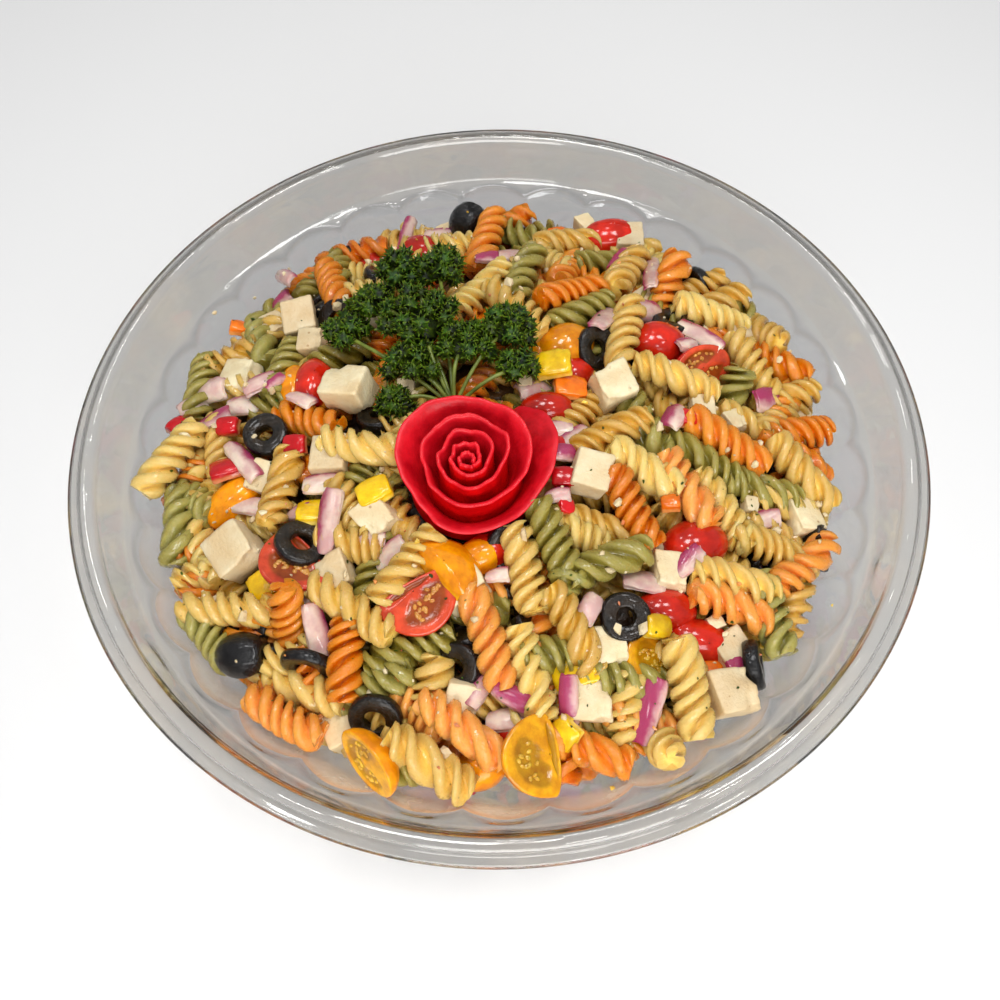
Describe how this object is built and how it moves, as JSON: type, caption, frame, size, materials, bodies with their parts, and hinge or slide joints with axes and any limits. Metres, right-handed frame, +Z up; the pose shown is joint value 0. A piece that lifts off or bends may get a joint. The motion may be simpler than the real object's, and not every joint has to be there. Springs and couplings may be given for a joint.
{
  "type": "pasta salad in a bowl",
  "caption": "Mixed spiral pasta salad heaped in a clear round fluted plastic bowl, topped with a rose rolled from tomato peel and a bunch of curly parsley.",
  "frame": {"origin": "centre of the bowl's foot, on the surface that it stands on", "axes": "+Z up along the bowl's axis, -Y towards the picture's viewer, +X to the viewer's right"},
  "size_m": [0.33, 0.33, 0.1179],
  "materials": {
    "clear_plastic": "clear and glossy",
    "pasta_salad": "oily",
    "tomato_peel": "wet",
    "parsley_leaf": "leafy"
  },
  "bodies": {
    "root": {"bowl": "clear_plastic", "salad_heap": "pasta_salad", "tomato_rose": "tomato_peel", "parsley_bunch": "parsley_leaf"}
  },
  "joints": []
}
